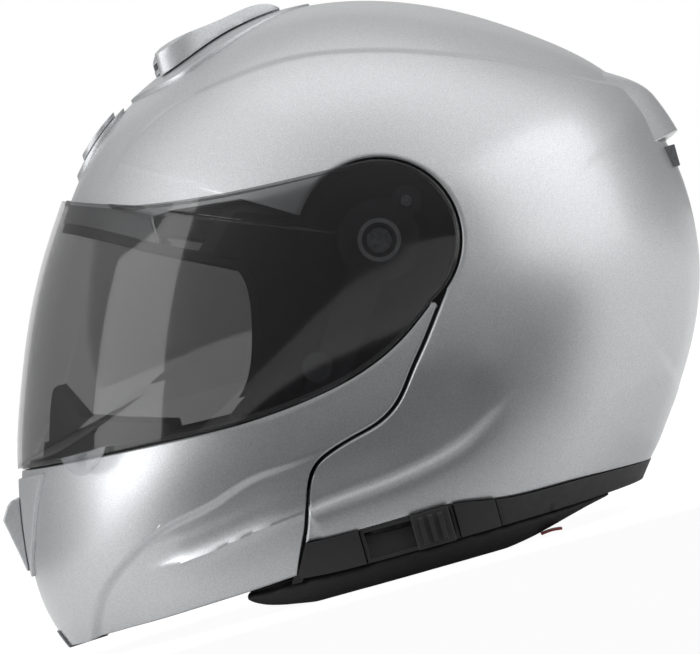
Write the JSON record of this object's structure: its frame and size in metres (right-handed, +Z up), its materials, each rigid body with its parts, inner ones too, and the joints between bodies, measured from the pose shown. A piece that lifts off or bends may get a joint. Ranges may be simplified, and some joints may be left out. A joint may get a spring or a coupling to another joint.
{
  "type": "modular motorcycle helmet",
  "caption": "Flip-up full-face motorcycle helmet with hinged chin bar, tilting tinted face shield, drop-down sun visor, vents, padding and chin strap.",
  "frame": {"origin": "on the ground, under the middle of the helmet's length and width, where its neck roll rests", "axes": "+Z up, the face looks along -X, the wearer's left is -Y"},
  "size_m": [0.3589, 0.256, 0.2781],
  "materials": {
    "silver_paint": "gloss metallic clear coat",
    "smoke_polycarbonate": "tinted, gloss hard coat",
    "sun_tint": "dark tinted, gloss",
    "clear_polycarbonate": "clear, gloss",
    "black_plastic": "fine moulded texture",
    "dark_grey_plastic": "satin moulded",
    "grey_plastic": "satin painted",
    "black_rubber": "matt",
    "eps_foam": "beaded foam",
    "black_fabric": "knit over foam",
    "webbing": "woven webbing",
    "red_ribbon": "woven ribbon",
    "steel": "satin"
  },
  "bodies": {
    "helmet_shell": {"outer_shell": "silver_paint", "pivot_pan_left": "black_plastic", "pivot_pan_right": "black_plastic", "eps_liner": "eps_foam", "crown_liner": "black_fabric", "cheek_pad_left": "black_fabric", "cheek_pad_right": "black_fabric", "neck_roll": "black_fabric", "cheek_pull_tabs": "red_ribbon", "bottom_trim": "black_rubber", "front_clip_left": "black_plastic", "front_clip_right": "black_plastic", "rear_clip_left": "black_plastic", "slider_track_left": "black_plastic", "eyeport_gasket": "black_rubber", "pivot_base_left": "black_plastic", "pivot_base_right": "black_plastic", "pivot_screw_left": "steel", "pivot_screw_right": "steel", "brow_vent_base": "grey_plastic", "top_vent_base": "grey_plastic", "rear_vent_frame": "silver_paint", "rear_vent_insert": "black_plastic", "strap_left": "webbing", "strap_right": "webbing", "strap_rivets": "steel", "buckle_housing": "steel", "buckle_tongue": "black_plastic", "striker_pins": "steel", "sun_visor_pins": "steel"},
    "chin": {"chin_bar": "silver_paint", "chin_bar_liner": "eps_foam", "chin_bar_gasket": "black_rubber", "chin_pivot_arm_left": "dark_grey_plastic", "chin_pivot_arm_right": "dark_grey_plastic", "arm_caps": "grey_plastic", "shield_ratchet_left": "dark_grey_plastic", "shield_ratchet_right": "dark_grey_plastic", "ratchet_screws": "steel", "latch_pivots": "steel", "chin_vent_frame": "silver_paint", "breath_guard": "black_rubber", "chin_curtain": "black_fabric"},
    "shield": {"face_shield": "smoke_polycarbonate", "shield_pivot_rings": "clear_polycarbonate", "shield_lift_tab": "clear_polycarbonate"},
    "inner_visor": {"sun_visor": "sun_tint"},
    "visor_slider": {"sun_visor_slider": "black_plastic"},
    "top_scoop": {"top_vent_scoop": "silver_paint"},
    "brow_slider": {"brow_vent_slider": "silver_paint"},
    "vent_cover": {"chin_vent_cover": "silver_paint"},
    "release_lever": {"chin_release_lever": "dark_grey_plastic"},
    "latch": {"latch_hook_left": "steel", "latch_hook_right": "steel"},
    "strap_lever": {"buckle_lever": "steel"}
  },
  "joints": [
    {"name": "chin_bar_flip", "type": "hinge", "parent": "helmet_shell", "child": "chin", "pos_m": [0.02797, 0, 0.15341], "axis": [0, 1, 0], "range_deg": [0, 65]},
    {"name": "shield_tilt", "type": "hinge", "parent": "chin", "child": "shield", "pos_m": [0.02797, 0, 0.15341], "axis": [0, 1, 0], "range_deg": [0, 41]},
    {"name": "sun_visor_slider_slide", "type": "slide", "parent": "helmet_shell", "child": "visor_slider", "axis": [-1, 0, 0], "range_m": [0, 0.022]},
    {"name": "sun_visor_swing", "type": "hinge", "parent": "helmet_shell", "child": "inner_visor", "pos_m": [0.00283, 0, 0.13328], "axis": [0, 1, 0], "range_deg": [0, 50]},
    {"name": "top_vent_slide", "type": "slide", "parent": "helmet_shell", "child": "top_scoop", "axis": [0.968, 0, 0.2509], "range_m": [0, 0.004]},
    {"name": "brow_vent_slide", "type": "slide", "parent": "helmet_shell", "child": "brow_slider", "axis": [0.788, 0, 0.6157], "range_m": [0, 0.002]},
    {"name": "chin_vent_slide", "type": "slide", "parent": "chin", "child": "vent_cover", "axis": [-1, 0, 0], "range_m": [0, 0.002]},
    {"name": "release_lever_pull", "type": "hinge", "parent": "chin", "child": "release_lever", "pos_m": [-0.16355, 0, 0.01278], "axis": [0, 1, 0], "range_deg": [0, 5], "stiffness_Nm_per_rad": 0.3},
    {"name": "latch_turn", "type": "hinge", "parent": "chin", "child": "latch", "pos_m": [-0.06018, 0, 0.03998], "axis": [0, -1, 0], "range_deg": [0, 18], "stiffness_Nm_per_rad": 0.1},
    {"name": "buckle_lever_turn", "type": "hinge", "parent": "helmet_shell", "child": "strap_lever", "pos_m": [-0.002, -0.018, 0.0123], "axis": [1, 0, 0], "range_deg": [0, 40], "stiffness_Nm_per_rad": 0.05}
  ],
  "couplings": [
    {"joint": "sun_visor_slider_slide", "follows": "sun_visor_swing", "m_per_rad": 0.0252},
    {"joint": "latch_turn", "follows": "release_lever_pull", "ratio": 3.59}
  ]
}
